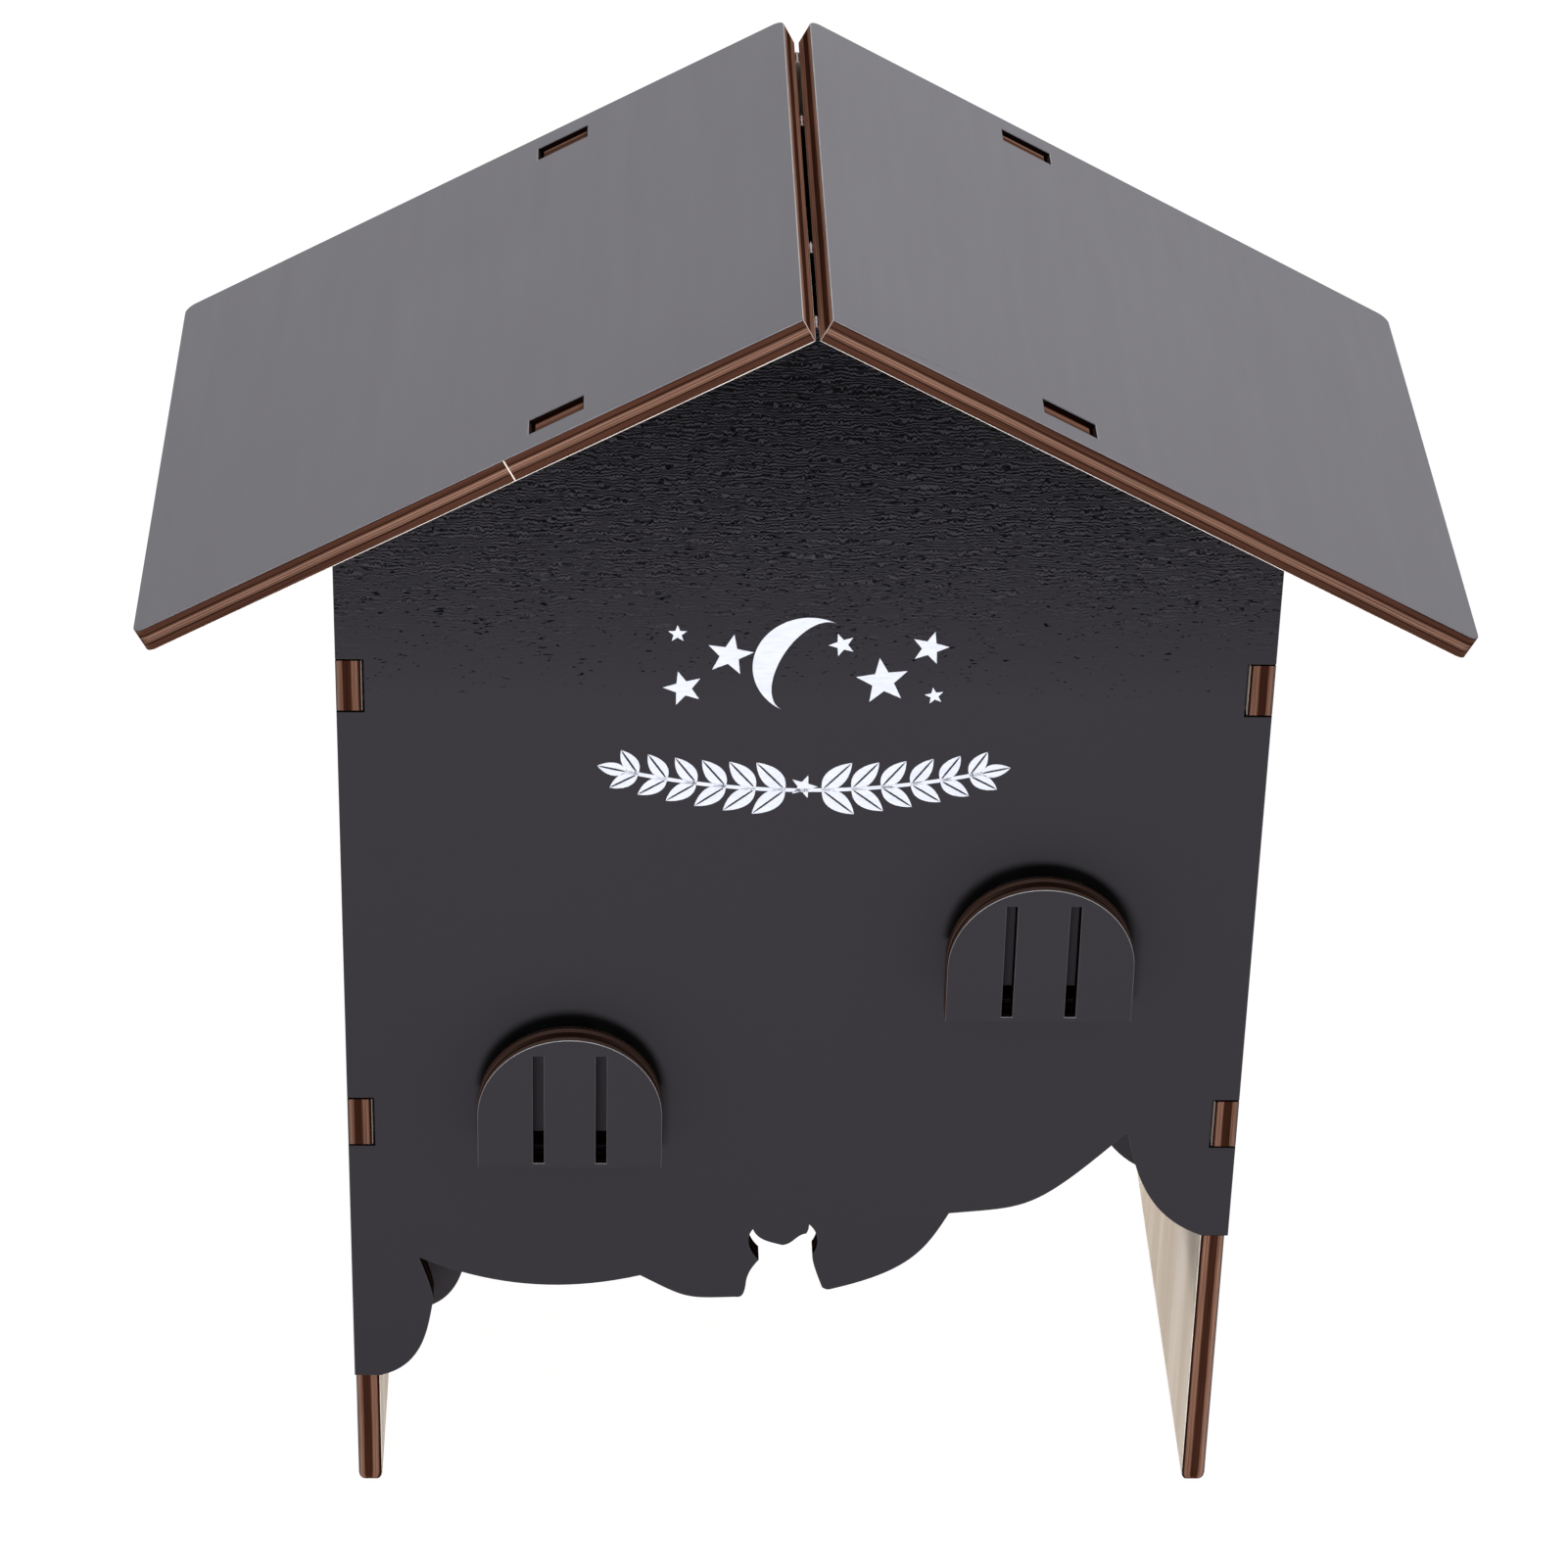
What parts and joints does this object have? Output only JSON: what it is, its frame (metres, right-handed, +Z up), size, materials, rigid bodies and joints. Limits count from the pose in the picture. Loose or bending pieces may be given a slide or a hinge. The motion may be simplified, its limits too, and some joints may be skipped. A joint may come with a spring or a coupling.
{
  "type": "bat box",
  "caption": "Slot-together plywood bat house on side-panel legs, with roost chambers open below, a gabled two-board roof, arched window plates and a scalloped lower edge.",
  "frame": {"origin": "on the ground, under the middle of the whole box's bounding box", "axes": "+Z up, -Y towards the front with the windows, +X to the right seen from the front"},
  "size_m": [0.2552, 0.142, 0.281],
  "materials": {
    "painted_ply": "charcoal matt paint on the faces, bare three-ply at the cut edges and on the inner faces",
    "partition_ply": "charcoal matt paint on three-ply, bare at the cut edges",
    "roof_ply": "smooth charcoal satin paint on top, bare three-ply at the cut edges",
    "window_ply": "charcoal matt paint, bare three-ply at the cut edges",
    "white_print": "flat white print on the front panel, made in the visual model only"
  },
  "bodies": {
    "root": {"front_panel": "painted_ply", "back_panel": "painted_ply", "front_partition": "partition_ply", "back_partition": "partition_ply", "left_side_panel": "painted_ply", "right_side_panel": "painted_ply", "left_roof_panel": "roof_ply", "right_roof_panel": "roof_ply", "left_window_plate": "window_ply", "right_window_plate": "window_ply", "left_window_spacer": "window_ply", "right_window_spacer": "window_ply"}
  },
  "joints": []
}
